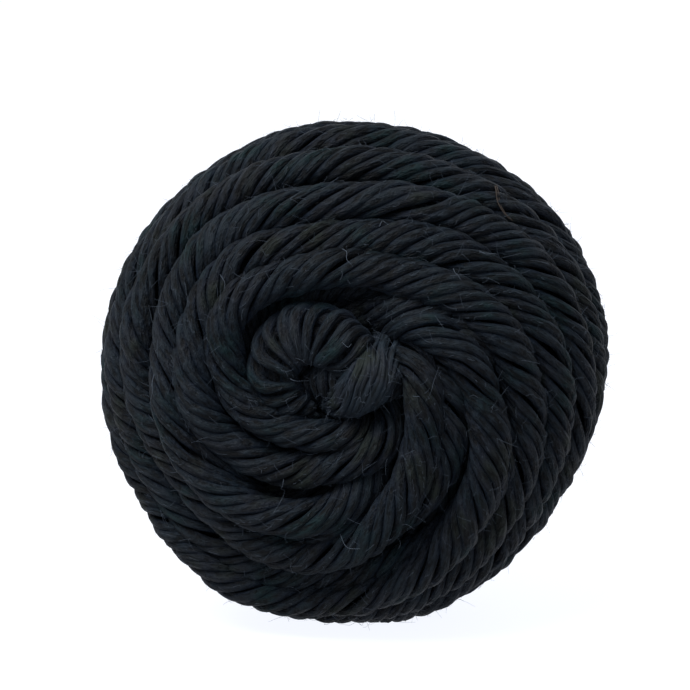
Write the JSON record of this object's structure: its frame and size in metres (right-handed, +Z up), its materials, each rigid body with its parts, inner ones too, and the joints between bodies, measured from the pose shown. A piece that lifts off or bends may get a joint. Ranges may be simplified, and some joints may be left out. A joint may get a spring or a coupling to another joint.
{
  "type": "chunky cotton yarn ball",
  "caption": "Squat ball of thick plied cotton yarn, its turns spiralling out from a small rosette at each end of the winding axis, resting on a small flat spot.",
  "frame": {"origin": "centre of the ball's outer box, at the floor it rests on", "axes": "+Z up from the floor through the ball, Y along the winding axis with the rosette that shows at -Y, +X to the right as that rosette is seen from the front"},
  "size_m": [0.0854, 0.072, 0.0837],
  "materials": {
    "black_cotton": "matt near-black dyed cotton with a soft bloom of fibres"
  },
  "bodies": {
    "root": {"yarn_ball": "black_cotton"}
  },
  "joints": []
}
